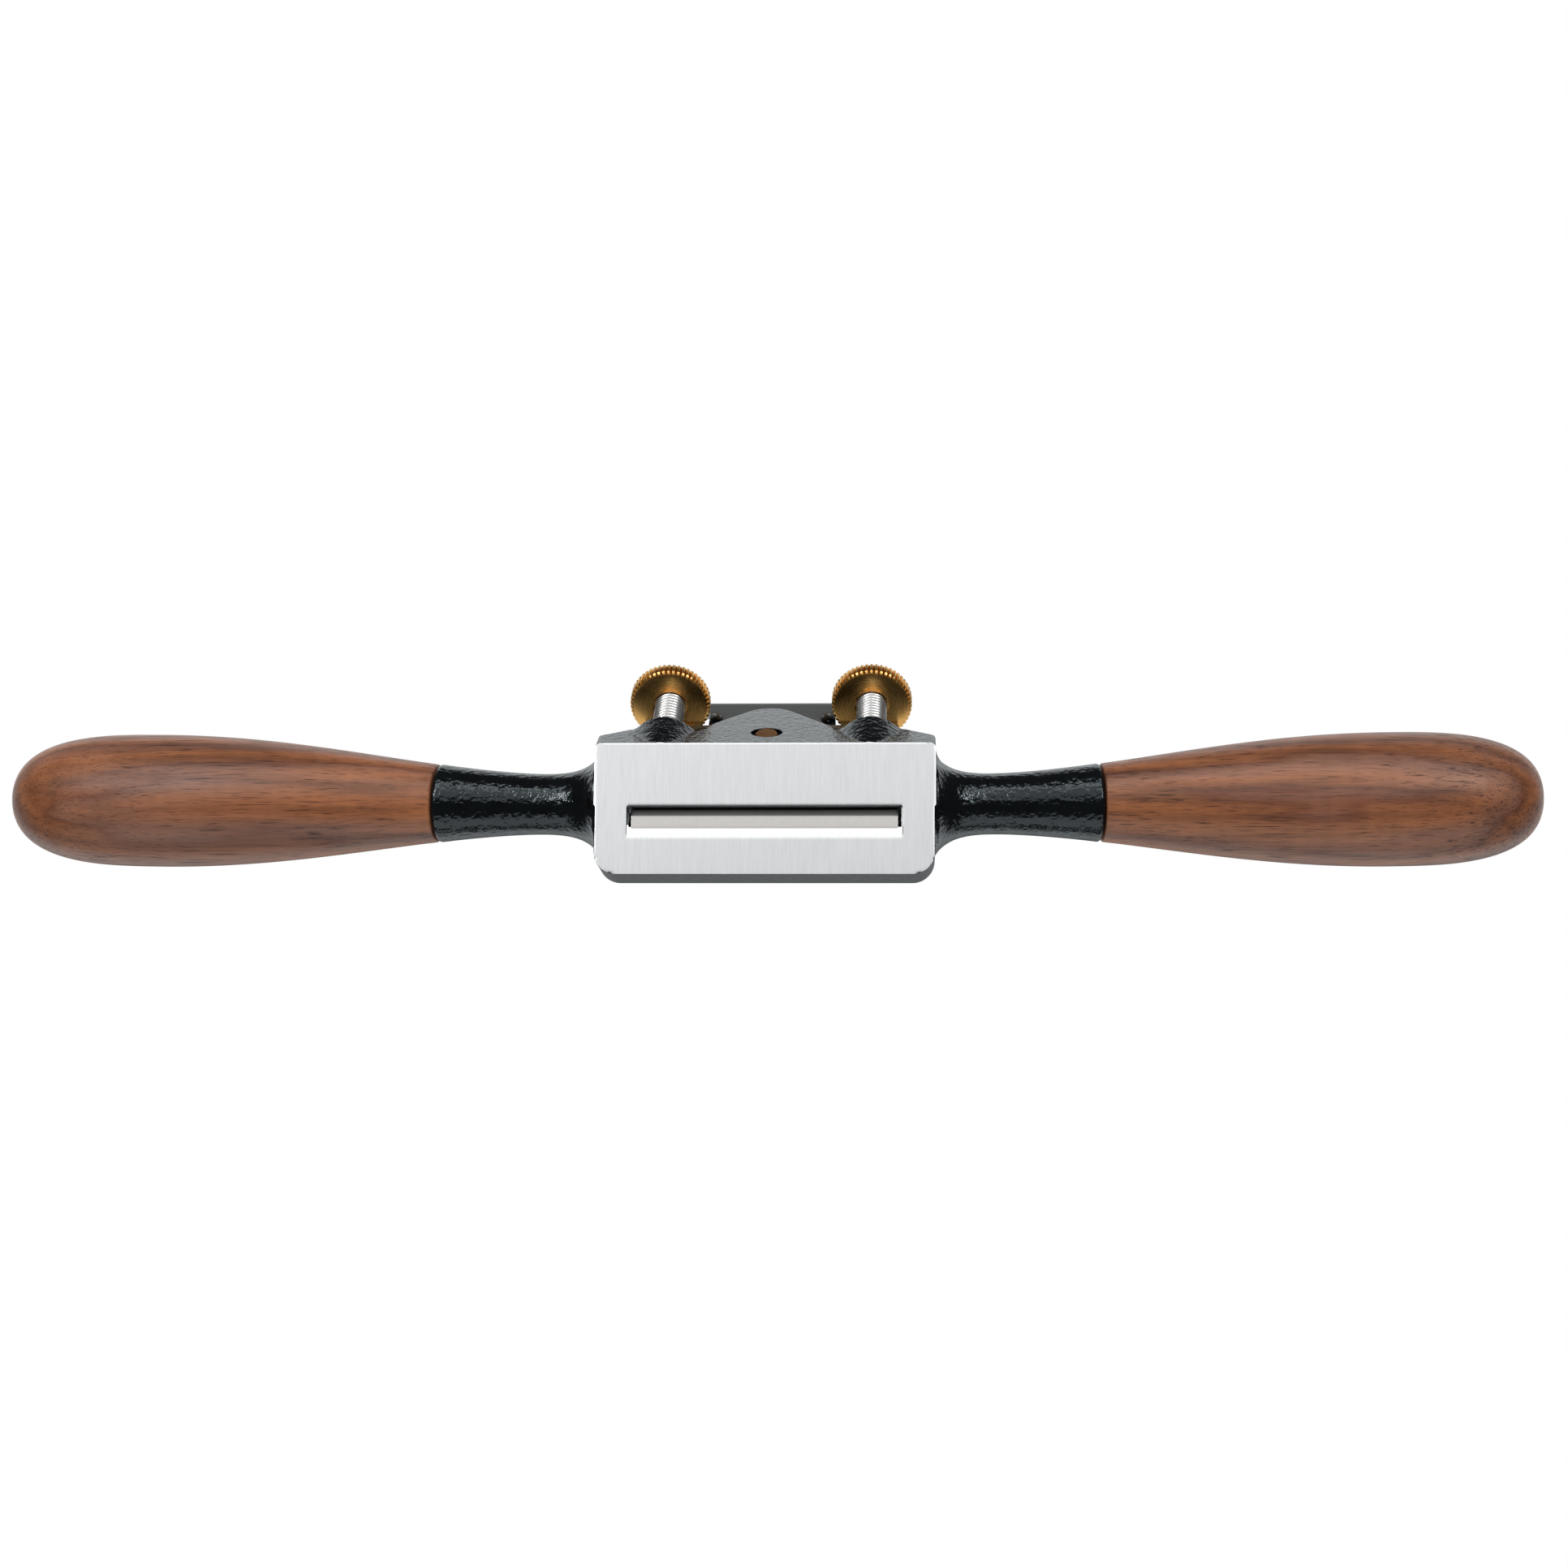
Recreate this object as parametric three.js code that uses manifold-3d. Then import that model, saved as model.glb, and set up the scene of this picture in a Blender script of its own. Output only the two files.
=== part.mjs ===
// A flat-soled metal spokeshave with two turned wooden handles, in millimetres.
// It stands on its sole: z = 0 is the sole plane, the toe is towards -Y and the heel towards +Y.
// X runs along the handles, and left (+X) is the left hand of someone who stands behind the heel.
import * as THREE from "three";
import { mergeVertices } from "three/addons/utils/BufferGeometryUtils.js";
import Module from "manifold-3d";

const wasm = await Module();
wasm.setup();
const { Manifold, Mesh } = wasm;

// Sole, toe bar and mouth
const soleLength = 65;
const soleDepth = 25.6;
const heelY = 9.8;
const toeCornerRadius = 4.3;
const heelCornerRadius = 1.3;
const toeHeight = 12;
const toeEdgeChamfer = 1.2;
const toeEdgeKink = 0.35;
const wedgeInset = 0.4;
const toeBarDepth = 7.3;
const mouthWidth = 52.6;
const mouthDepth = 5.9;
const mouthFrontGap = 1.35;
const throatStep = 3;
const throatFlare = 2.4;
const throatDraft = THREE.MathUtils.degToRad(8);
const escapeDepth = 2.2;
const escapeLean = 0.2;

// Bed and the hump behind the blade
const bedAngle = THREE.MathUtils.degToRad(45);
const heelSlope = THREE.MathUtils.degToRad(61.3);
const humpHeight = 36.7;
const humpTopRadius = 5.5;
const humpHalfWidth = 14.1;
const humpSlope = THREE.MathUtils.degToRad(53);
const sideShoulder = 17.5;
const sideShoulderWidth = 5.5;

// Blade
const bladeWidth = 51;
const bladeLength = 43.5;
const bladeThickness = 1.6;
const bevelAngle = THREE.MathUtils.degToRad(35);
const sideSlotPosition = 37.4;
const sideSlotPlay = 1.25;
const sideSlotEndGap = 2.35;
const screwSlotTravel = 3.4;
const screwSlotPlay = 1.6;

// Adjusting studs and nuts, which run parallel to the bed
const studSpacing = 40.3;
const studBelowBlade = 4;
const studDiameter = 6;
const studLength = 33.4;
const studSocketDepth = 9.3;
const studChamfer = 0.7;
const bossWall = 3.5;
const bossTop = 21.6;
const heelTrimAngle = THREE.MathUtils.degToRad(41);
const nutDiameter = 16;
const nutThickness = 3.55;
const nutChamfer = 0.55;
const nutTeeth = 50;
const knurlDepth = 0.35;

// Lever cap with its fixed screw and its thumbscrew
const capSetback = 2.2;
const capLength = 43.25;
const capTopCorner = 6;
const capThickness = 4.4;
const capNoseThickness = 0.7;
const capNoseRise = 1.1;
const capNoseLand = 3.4;
const capNoseSlope = 11;
const capRelief = 0.9;
const capShoulder = 12.5;
const capShoulderRound = 1;
const capShoulderRise = 0.4;
const capNeckReach = 7;
const capNeckRise = 3;
const capNeckSlope = 1.6;
const capEndChamfer = 0.8;
const capNutGap = 2.55;
const capScrewPosition = 18.7;
const capScrewDiameter = 5;
const capScrewHeadRim = 2;
const capScrewHeadHeight = 2.6;
const capScrewTipTaper = 0.5;
const capScrewTipDepth = 0.3;
const capScrewHeadRound = 0.3;
const capScrewHeadEdge = 0.9;
const capScrewHeadShoulder = 0.5;
const capScrewHeadDome = 1.4;
const driverSlotWidth = 1.2;
const driverSlotDepth = 1.1;
const driverSlotTurn = THREE.MathUtils.degToRad(36);
const countersinkRim = 0.55;
const countersinkDepth = 1.4;
const keyholeTravel = 8;
const thumbscrewPosition = 37;
const thumbscrewDiameter = 6;
const thumbscrewHeadDiameter = 16;
const thumbscrewHeadHeight = 5;
const thumbscrewCollarHeight = 1.4;
const thumbscrewCollarRim = 2;
const thumbscrewTeeth = 44;
const thumbscrewChamfer = 0.6;
const thumbscrewCollarEdge = 0.4;
const thumbscrewHeadChamfer = 0.7;
const thumbscrewDishDepth = 0.8;

// Arms and handles
const armHeight = 11.7;
const armTilt = THREE.MathUtils.degToRad(5);
const armSweep = THREE.MathUtils.degToRad(1.65);
const armLength = 32.3;
const armWaistRadius = 5.53;
const armFlare = 4.2;
const armFlareLength = 3.4;
const armGrowth = 0.0021;
const armRootDepth = 6;
const armRootRound = 0.9;
const armEndRound = 0.5;
const handleLength = 86.7;
const handleFrontDiameter = 15.4;
const handleDiameter = 26.3;
const handleFullest = 0.65;
const handleEdgeRound = 0.3;
const handleSwellPower = 1.1;
const handleEndPower = 3;
const handleEndRound = 2.6;
const handleStudDiameter = 6;
const handleStudChamfer = 0.5;
const handleStudInArm = 12;
const handleStudInHandle = 26;

// Clearances: between faces that rest on each other, round a screw or a stud, and at the cap's sides
const faceGap = 0.3;
const threadGap = 0.1;
const slideGap = 0.3;
const capSideGap = 0.15;
const endGap = 0.3;
// How far pieces that are joined or cut run into each other, and past a face they cut through
const weld = 0.01;
const past = 1;

const ROUND = 36;
const halfLength = soleLength / 2;
const toeY = heelY - soleDepth;
const mouthFront = toeY + toeBarDepth;
const mouthRear = mouthFront + mouthDepth;
const sides = { left: 1, right: -1 };

// The bed frame: x as before, y up along the bed from the cutting edge, z out of the bed, 0 under the blade.
const bedOrigin = new THREE.Vector3(
  0,
  mouthFront + mouthFrontGap + bladeThickness * Math.sin(bedAngle),
  -bladeThickness * Math.cos(bedAngle),
);
const bedMatrix = new THREE.Matrix4().makeRotationX(bedAngle).setPosition(bedOrigin);

// A closed three.js geometry as a solid, with its shared vertices merged.
function solid(geometry, matrix = new THREE.Matrix4()) {
  const bare = new THREE.BufferGeometry();
  bare.setAttribute("position", geometry.getAttribute("position").clone());
  bare.setIndex(geometry.index);
  const merged = mergeVertices(bare.applyMatrix4(matrix), 1e-4);
  const corners = merged.index.array;
  const kept = [];
  for (let i = 0; i < corners.length; i += 3) {
    const [a, b, c] = corners.slice(i, i + 3);
    if (a !== b && b !== c && c !== a) kept.push(a, b, c);
  }
  return new Manifold(
    new Mesh({
      numProp: 3,
      vertProperties: new Float32Array(merged.getAttribute("position").array),
      triVerts: new Uint32Array(kept),
    }),
  );
}

// A solid as a three.js geometry with flat facets.
function geometryOf(made) {
  const mesh = made.getMesh();
  const geometry = new THREE.BufferGeometry();
  geometry.setAttribute("position", new THREE.BufferAttribute(mesh.vertProperties, 3));
  geometry.setIndex(new THREE.BufferAttribute(mesh.triVerts, 1));
  const flat = geometry.toNonIndexed();
  flat.computeVertexNormals();
  return flat;
}

// A flat outline from [x, y] points.
function outline(points) {
  return new THREE.Shape(points.map(([x, y]) => new THREE.Vector2(x, y)));
}

// An outline in its own x and y, pushed along its z from low to high.
function prism(shape, low, high, matrix = new THREE.Matrix4()) {
  const extruded = new THREE.ExtrudeGeometry(shape, {
    depth: high - low,
    bevelEnabled: false,
    curveSegments: 12,
  });
  return solid(extruded.translate(0, 0, low), matrix);
}

// An outline of [y, z] points, pushed along X over the given half width.
function crossSection(points, halfWidth, matrix = new THREE.Matrix4()) {
  const along = new THREE.Matrix4().makeBasis(
    new THREE.Vector3(0, 1, 0),
    new THREE.Vector3(0, 0, 1),
    new THREE.Vector3(1, 0, 0),
  );
  return prism(outline(points), -halfWidth, halfWidth, matrix.clone().multiply(along));
}

// A turned solid: [radius, height] points from the bottom of its axis to the top.
function turned(points, matrix = new THREE.Matrix4(), segments = ROUND) {
  const profile = points.map(([r, h]) => new THREE.Vector2(r, h));
  return solid(new THREE.LatheGeometry(profile, segments), matrix);
}

// A plain round bar along its own y.
function rod(radius, low, high, matrix = new THREE.Matrix4()) {
  const bar = new THREE.CylinderGeometry(radius, radius, high - low, ROUND);
  return solid(bar.translate(0, (low + high) / 2, 0), matrix);
}

// A threaded bar along its own y, with a chamfer at each end.
function studBar(diameter, low, high, chamfer, matrix) {
  const r = diameter / 2;
  const ends = [
    [0, low],
    [r - chamfer, low],
    [r, low + chamfer],
    [r, high - chamfer],
    [r - chamfer, high],
    [0, high],
  ];
  return turned(ends, matrix);
}

// A knurled disc along its own y, centred, with chamfered rims.
function knurledDisc(diameter, thickness, chamfer, teeth) {
  const r = diameter / 2;
  const points = [];
  for (let i = 0; i < 2 * teeth; i++) {
    const angle = (i * Math.PI) / teeth;
    const reach = i % 2 ? r - knurlDepth : r;
    points.push([reach * Math.cos(angle), reach * Math.sin(angle)]);
  }
  const upright = new THREE.Matrix4().makeRotationX(-Math.PI / 2);
  const toothed = prism(outline(points), -thickness / 2, thickness / 2, upright);
  const half = thickness / 2;
  const rims = [
    [0, -half],
    [r - chamfer, -half],
    [r, chamfer - half],
    [r, half - chamfer],
    [r - chamfer, half],
    [0, half],
  ];
  return toothed.intersect(turned(rims, undefined, 2 * teeth));
}

// A point of the bed frame's y and z, as the part's y and z.
function fromBed(up, out) {
  const point = new THREE.Vector3(0, up, out).applyMatrix4(bedMatrix);
  return [point.y, point.z];
}

// The arm's radius at a distance out from the side of the sole.
function armRadius(out) {
  return armWaistRadius + armFlare * Math.exp(-out / armFlareLength) + armGrowth * out * out;
}

// The handle's radius at a distance from its front, as a swell that ends in a blunt round.
function handleRadius(out) {
  const share = out / handleLength;
  const front = handleFrontDiameter / 2;
  const full = handleDiameter / 2;
  if (share < handleFullest) {
    const rise = Math.sin((Math.PI / 2) * (share / handleFullest)) ** handleSwellPower;
    return front + (full - front) * rise;
  }
  const left = (share - handleFullest) / (1 - handleFullest);
  return full * (1 - left ** handleEndPower) ** (1 / handleEndRound);
}

// The frame of an arm: its own y runs out along the arm from the side of the sole.
function armMatrix(side) {
  const out = new THREE.Vector3(
    side * Math.cos(armTilt) * Math.cos(armSweep),
    Math.cos(armTilt) * Math.sin(armSweep),
    Math.sin(armTilt),
  );
  const up = new THREE.Vector3(0, 0, 1).addScaledVector(out, -out.z).normalize();
  const across = new THREE.Vector3().crossVectors(out, up);
  return new THREE.Matrix4().makeBasis(across, out, up).setPosition(side * halfLength, 0, armHeight);
}

// Where a stud runs in the bed frame.
function studMatrix(side) {
  const local = new THREE.Matrix4().setPosition((side * studSpacing) / 2, 0, -studBelowBlade);
  return bedMatrix.clone().multiply(local);
}

// A screw through the bed: its own y points out of the bed, at a distance up from the cutting edge.
function screwMatrix(up) {
  const local = new THREE.Matrix4().makeRotationX(Math.PI / 2).setPosition(0, up, 0);
  return bedMatrix.clone().multiply(local);
}

function soleOutline(inset = 0) {
  const x = halfLength - inset;
  const toe = toeY + inset;
  const toeRound = toeCornerRadius - inset;
  const heelRound = heelCornerRadius;
  const shape = new THREE.Shape();
  shape.moveTo(-x + toeRound, toe);
  shape.lineTo(x - toeRound, toe);
  shape.absarc(x - toeRound, toe + toeRound, toeRound, -Math.PI / 2, 0);
  shape.lineTo(x, heelY - heelRound);
  shape.absarc(x - heelRound, heelY - heelRound, heelRound, 0, Math.PI / 2);
  shape.lineTo(-x + heelRound, heelY);
  shape.absarc(-x + heelRound, heelY - heelRound, heelRound, Math.PI / 2, Math.PI);
  shape.lineTo(-x, toe + toeRound);
  shape.absarc(-x + toeRound, toe + toeRound, toeRound, Math.PI, 1.5 * Math.PI);
  return shape;
}

// The bed seen square on: low shoulders at the sides, boss tops, and the hump in the middle.
function bedOutline() {
  const right = [
    [halfLength, -soleDepth],
    [halfLength, sideShoulder],
    [halfLength - sideShoulderWidth, bossTop],
    [humpHalfWidth, bossTop],
  ];
  const steps = 8;
  for (let i = 0; i <= steps; i++) {
    const angle = Math.PI / 2 - humpSlope * (1 - i / steps);
    right.push([
      humpTopRadius * Math.cos(angle),
      humpHeight - humpTopRadius * (1 - Math.sin(angle)),
    ]);
  }
  const left = right
    .slice(0, -1)
    .reverse()
    .map(([x, y]) => [-x, y]);
  return outline([...right, ...left]);
}

function bodyCasting() {
  const far = 2 * soleLength;
  const edgeLow = toeHeight - toeEdgeChamfer;
  const kink = toeEdgeChamfer * toeEdgeKink;
  const slab = prism(soleOutline(), 0, edgeLow)
    .add(prism(soleOutline(kink), edgeLow - weld, toeHeight - kink))
    .add(prism(soleOutline(toeEdgeChamfer), toeHeight - kink - weld, toeHeight));
  const bedFoot = fromBed(0, -faceGap);
  const bedRise = Math.tan(bedAngle);
  const bedAt = (y) => bedFoot[1] + (y - bedFoot[0]) * bedRise;
  const wedge = crossSection(
    [
      [mouthRear, 0],
      [heelY, 0],
      [heelY + far / Math.tan(heelSlope), far],
      [mouthRear, far],
    ],
    halfLength - wedgeInset,
  );
  const bed = prism(bedOutline(), -far, -faceGap, bedMatrix);
  let body = slab.add(wedge.intersect(bed));
  const heelTrim = crossSection(
    [
      [toeY, 0],
      [heelY, 0],
      [heelY + far / Math.tan(heelTrimAngle), far],
      [toeY, far],
    ],
    halfLength,
  );
  for (const side of Object.values(sides)) {
    const boss = rod(studDiameter / 2 + bossWall, 0, bossTop, studMatrix(side));
    body = body.add(boss.intersect(heelTrim).intersect(bed));
  }
  for (const side of Object.values(sides)) body = body.add(arm(side));
  const throat = crossSection(
    [
      [mouthFront, -past],
      [mouthRear, -past],
      [mouthRear, bedAt(mouthRear)],
      [mouthRear + far, bedAt(mouthRear + far)],
      [mouthFront - throatFlare, mouthRear + far],
      [mouthFront - throatFlare, throatStep + throatFlare],
      [mouthFront, throatStep],
    ],
    mouthWidth / 2,
  );
  body = body.subtract(throat).subtract(shavingsEscape());
  for (const side of Object.values(sides)) {
    const hole = studDiameter / 2 + threadGap;
    const studHole = rod(hole, bossTop - studSocketDepth, bossTop + studLength, studMatrix(side));
    body = body.subtract(studHole);
    const armHole = handleStudDiameter / 2 + threadGap;
    const armSocket = rod(armHole, armLength - handleStudInArm, armLength + past, armMatrix(side));
    body = body.subtract(armSocket);
  }
  const screwHole = rod(capScrewDiameter / 2 + threadGap, -far, past, screwMatrix(capScrewPosition));
  const countersink = rod(
    capScrewDiameter / 2 + countersinkRim,
    -far,
    bedBackDepth(capScrewPosition) + countersinkDepth,
    screwMatrix(capScrewPosition),
  );
  return body.subtract(screwHole).subtract(countersink);
}

// The way out for the shavings ahead of the cap, whose sides draw apart above the sole.
function shavingsEscape() {
  const half = mouthWidth / 2;
  const far = soleLength;
  const reach = half + far * Math.tan(throatDraft);
  const shape = outline([
    [-half, -past],
    [half, -past],
    [half, 0],
    [reach, far],
    [-reach, far],
    [-half, 0],
  ]);
  const sideways = prism(shape, -far, far, new THREE.Matrix4().makeRotationX(Math.PI / 2));
  const ahead = crossSection(
    [
      [mouthFront, -past],
      [mouthFront + escapeDepth, -past],
      [mouthFront + escapeDepth, 0],
      [mouthFront + escapeDepth + escapeLean * far, far],
      [mouthFront - throatFlare, far],
      [mouthFront - throatFlare, throatStep + throatFlare],
      [mouthFront, throatStep],
    ],
    halfLength,
  );
  return ahead.intersect(sideways);
}

// How far the back of the bed lies below the blade, at a distance up from the cutting edge.
function bedBackDepth(up) {
  const turn = heelSlope - bedAngle;
  const heelPoint = new THREE.Vector3(0, heelY, 0).applyMatrix4(bedMatrix.clone().invert());
  return heelPoint.z + (up - heelPoint.y) * Math.tan(turn);
}

// An arm with its flared root, cut level with the sole.
function arm(side) {
  const rootRadius = armRadius(0);
  const points = [
    [0, -armRootDepth],
    [rootRadius - armRootRound, -armRootDepth],
    [rootRadius, -armRootRound],
  ];
  const steps = 12;
  for (let i = 0; i <= steps; i++) {
    const out = (armLength - armEndRound) * (i / steps) ** 1.5;
    points.push([armRadius(out), out]);
  }
  points.push([armRadius(armLength) - armEndRound, armLength]);
  points.push([0, armLength]);
  const round = turned(points, armMatrix(side));
  const aboveSole = new THREE.BoxGeometry(4 * soleLength, 4 * soleLength, soleLength);
  return round.intersect(solid(aboveSole.translate(0, 0, soleLength / 2)));
}

// The wooden handle, bored for its stud.
function handle(side) {
  const front = armLength + faceGap;
  const points = [
    [0, front],
    [handleRadius(0) - handleEdgeRound, front],
    [handleRadius(0), front + handleEdgeRound],
  ];
  const rises = 10;
  for (let i = 1; i <= rises; i++) {
    const out = (i / rises) * handleFullest * handleLength;
    points.push([handleRadius(out), front + out]);
  }
  const rounds = 10;
  for (let i = 1; i < rounds; i++) {
    const share = Math.sin((Math.PI / 2) * (i / rounds));
    const out = handleLength * (handleFullest + (1 - handleFullest) * share);
    points.push([handleRadius(out), front + out]);
  }
  points.push([0, front + handleLength]);
  const bore = handleStudDiameter / 2 + threadGap;
  const socket = rod(bore, front - past, front + handleStudInHandle + endGap, armMatrix(side));
  return turned(points, armMatrix(side)).subtract(socket);
}

function handleStud(side) {
  const low = armLength - handleStudInArm + endGap;
  const high = armLength + faceGap + handleStudInHandle;
  return studBar(handleStudDiameter, low, high, handleStudChamfer, armMatrix(side));
}

function adjustingStud(side) {
  const low = bossTop - studSocketDepth + endGap;
  return studBar(studDiameter, low, low + studLength, studChamfer, studMatrix(side));
}

function adjustingNut(side) {
  const bore = rod(studDiameter / 2 + threadGap, -nutThickness, nutThickness);
  const disc = knurledDisc(nutDiameter, nutThickness, nutChamfer, nutTeeth).subtract(bore);
  const place = studMatrix(side).multiply(new THREE.Matrix4().makeTranslation(0, sideSlotPosition, 0));
  return disc.transform(place.elements);
}

function blade() {
  const half = bladeWidth / 2;
  const shape = outline([
    [-half, 0],
    [half, 0],
    [half, bladeLength],
    [-half, bladeLength],
  ]);
  const slotRadius = (capScrewDiameter + screwSlotPlay) / 2;
  const slot = new THREE.Path();
  const straight = screwSlotTravel + screwSlotPlay;
  slot.absarc(0, capScrewPosition - straight, slotRadius, 0, -Math.PI, true);
  slot.absarc(0, capScrewPosition + straight, slotRadius, Math.PI, 0, true);
  shape.holes.push(slot);
  let made = prism(shape, 0, bladeThickness, bedMatrix);
  const bevelRise = Math.tan(bevelAngle);
  const bevel = crossSection(
    [
      [-past, bladeThickness + past * bevelRise],
      [-past, -past],
      [(bladeThickness + past) / bevelRise, -past],
    ],
    bladeWidth,
    bedMatrix,
  );
  made = made.subtract(bevel);
  for (const side of Object.values(sides)) {
    const innerEnd = studSpacing / 2 - nutDiameter / 2 - sideSlotEndGap;
    const round = (nutThickness + sideSlotPlay) / 2;
    const notch = new THREE.Shape();
    const centre = side * (innerEnd + round);
    notch.absarc(centre, sideSlotPosition, round, Math.PI / 2, 1.5 * Math.PI, side < 0);
    notch.lineTo(side * (half + past), sideSlotPosition - round);
    notch.lineTo(side * (half + past), sideSlotPosition + round);
    made = made.subtract(prism(notch, -past, bladeThickness + past, bedMatrix));
  }
  return made;
}

const capUnder = bladeThickness + faceGap;
const capTop = capUnder + capThickness;
const nutRise = studBelowBlade + capUnder;
const nutHalfChord = Math.sqrt((nutDiameter / 2) ** 2 - nutRise ** 2);
const capTopHalfWidth = studSpacing / 2 - nutHalfChord - capNutGap;
const capScrewHeadRadius = capScrewDiameter / 2 + capScrewHeadRim;
const thumbscrewCollarRadius = thumbscrewDiameter / 2 + thumbscrewCollarRim;

// The lever cap seen square on: wide at its nose, drawn in past the nuts, with a rounded top.
function capOutline() {
  const nose = mouthWidth / 2 - capSideGap;
  const half = capTopHalfWidth;
  const top = capSetback + capLength;
  const neck = sideSlotPosition - nutThickness;
  const bend = capShoulder - capShoulderRound;
  const bent = [nose - capShoulderRound, capShoulder + capShoulderRise];
  const out = [nose - capNeckReach, capShoulder + capNeckRise];
  const back = [half + capNeckSlope, capShoulder + capNeckReach];
  const shape = new THREE.Shape();
  shape.moveTo(-nose, capSetback);
  shape.lineTo(nose, capSetback);
  shape.lineTo(nose, bend);
  shape.quadraticCurveTo(nose, capShoulder, bent[0], bent[1]);
  shape.bezierCurveTo(out[0], out[1], back[0], back[1], half, neck);
  shape.lineTo(half, top - capTopCorner);
  shape.quadraticCurveTo(half, top, half - capTopCorner, top);
  shape.lineTo(capTopCorner - half, top);
  shape.quadraticCurveTo(-half, top, -half, top - capTopCorner);
  shape.lineTo(-half, neck);
  shape.bezierCurveTo(-back[0], back[1], -out[0], out[1], -bent[0], bent[1]);
  shape.quadraticCurveTo(-nose, capShoulder, -nose, bend);
  return shape;
}

function leverCap() {
  const shape = capOutline();
  const slim = capScrewDiameter / 2 + slideGap;
  const wide = capScrewHeadRadius + slideGap;
  const entry = capScrewPosition - keyholeTravel;
  const turn = Math.asin(slim / wide);
  const keyhole = new THREE.Path();
  keyhole.absarc(0, entry, wide, Math.PI / 2 - turn, Math.PI / 2 + turn, true);
  keyhole.absarc(0, capScrewPosition, slim, Math.PI, 0, true);
  shape.holes.push(keyhole);
  const plate = prism(shape, capUnder, capTop, bedMatrix);
  const end = capSetback + capLength;
  const reliefEnd = thumbscrewPosition - thumbscrewCollarRadius;
  const side = crossSection(
    [
      [capSetback, capUnder],
      [capSetback + capNoseLand, capUnder],
      [capSetback + capNoseLand + capRelief, capUnder + capRelief],
      [reliefEnd - capRelief, capUnder + capRelief],
      [reliefEnd, capUnder],
      [end, capUnder],
      [end, capTop - capEndChamfer],
      [end - capEndChamfer, capTop],
      [capSetback + capNoseSlope, capTop],
      [capSetback + capNoseSlope / 3, capUnder + capNoseThickness + capNoseRise],
      [capSetback, capUnder + capNoseThickness],
    ],
    mouthWidth,
    bedMatrix,
  );
  const thread = rod(thumbscrewDiameter / 2 + threadGap, 0, 2 * capTop, screwMatrix(thumbscrewPosition));
  return plate.intersect(side).subtract(thread);
}

// The fixed screw that the cap's keyhole hangs on, with its slotted head outside the cap.
function capScrew() {
  const r = capScrewDiameter / 2;
  const head = capScrewHeadRadius;
  const seat = capTop + faceGap;
  const top = seat + capScrewHeadHeight;
  const tip = bedBackDepth(capScrewPosition) + capScrewTipDepth;
  const points = [
    [0, tip],
    [r - capScrewTipTaper, tip],
    [r, tip + capScrewTipTaper],
    [r, seat],
    [head - capScrewHeadRound, seat],
    [head, seat + capScrewHeadRound],
    [head, top - capScrewHeadEdge],
    [head - capScrewHeadShoulder, top - capScrewHeadRound],
    [head - capScrewHeadDome, top],
    [0, top],
  ];
  const place = screwMatrix(capScrewPosition);
  const slot = new THREE.BoxGeometry(2 * head + past, capScrewHeadHeight, driverSlotWidth);
  const cutAt = top + capScrewHeadHeight / 2 - driverSlotDepth;
  const turn = new THREE.Matrix4().makeRotationY(driverSlotTurn).setPosition(0, cutAt, 0);
  return turned(points, place).subtract(solid(slot, place.clone().multiply(turn)));
}

// The knurled screw that bears on the blade and levers the cap's nose down on it.
function thumbscrew() {
  const r = thumbscrewDiameter / 2;
  const collar = thumbscrewCollarRadius;
  const seat = capTop + faceGap;
  const headLow = seat + thumbscrewCollarHeight;
  const shank = turned([
    [0, capUnder],
    [r - thumbscrewChamfer, capUnder],
    [r, capUnder + thumbscrewChamfer],
    [r, seat],
    [collar - thumbscrewCollarEdge, seat],
    [collar, seat + thumbscrewCollarEdge],
    [collar, headLow + weld],
    [0, headLow + weld],
  ]);
  const disc = knurledDisc(
    thumbscrewHeadDiameter,
    thumbscrewHeadHeight,
    thumbscrewHeadChamfer,
    thumbscrewTeeth,
  );
  const headTop = headLow + thumbscrewHeadHeight;
  const dish = turned([
    [0, headTop - thumbscrewDishDepth],
    [collar - thumbscrewChamfer, headTop - thumbscrewDishDepth],
    [collar, headTop + past],
    [0, headTop + past],
  ]);
  const place = screwMatrix(thumbscrewPosition);
  return disc
    .translate(0, headTop - thumbscrewHeadHeight / 2, 0)
    .add(shank)
    .subtract(dish)
    .transform(place.elements);
}

const finishes = {
  paint: { color: 0x16181a, roughness: 0.42, metalness: 0 },
  steel: { color: 0xc8cacb, roughness: 0.3, metalness: 1 },
  toolSteel: { color: 0xa9a9a8, roughness: 0.28, metalness: 1 },
  brass: { color: 0xc79a4b, roughness: 0.32, metalness: 1 },
  walnut: { color: 0x7c4a31, roughness: 0.48, metalness: 0 },
};

const spokeshave = new THREE.Group();

function place(name, made, finish) {
  const material = new THREE.MeshStandardMaterial(finishes[finish]);
  const mesh = new THREE.Mesh(geometryOf(made), material);
  mesh.name = name;
  spokeshave.add(mesh);
}

place("body_casting", bodyCasting(), "paint");
place("blade", blade(), "toolSteel");
place("lever_cap", leverCap(), "paint");
place("lever_cap_screw", capScrew(), "brass");
place("lever_cap_thumbscrew", thumbscrew(), "brass");
for (const [name, side] of Object.entries(sides)) {
  place(`adjusting_stud_${name}`, adjustingStud(side), "steel");
  place(`adjusting_nut_${name}`, adjustingNut(side), "brass");
  place(`handle_stud_${name}`, handleStud(side), "steel");
  place(`handle_${name}`, handle(side), "walnut");
}

export default spokeshave;
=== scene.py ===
# A metal spokeshave with walnut handles, seen from below so that its sole faces the camera.
# Sizes are millimetres in the part's frame until a mesh is made, which is in metres.
import math

import bpy
import numpy as np
from mathutils import Matrix, Vector

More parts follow.
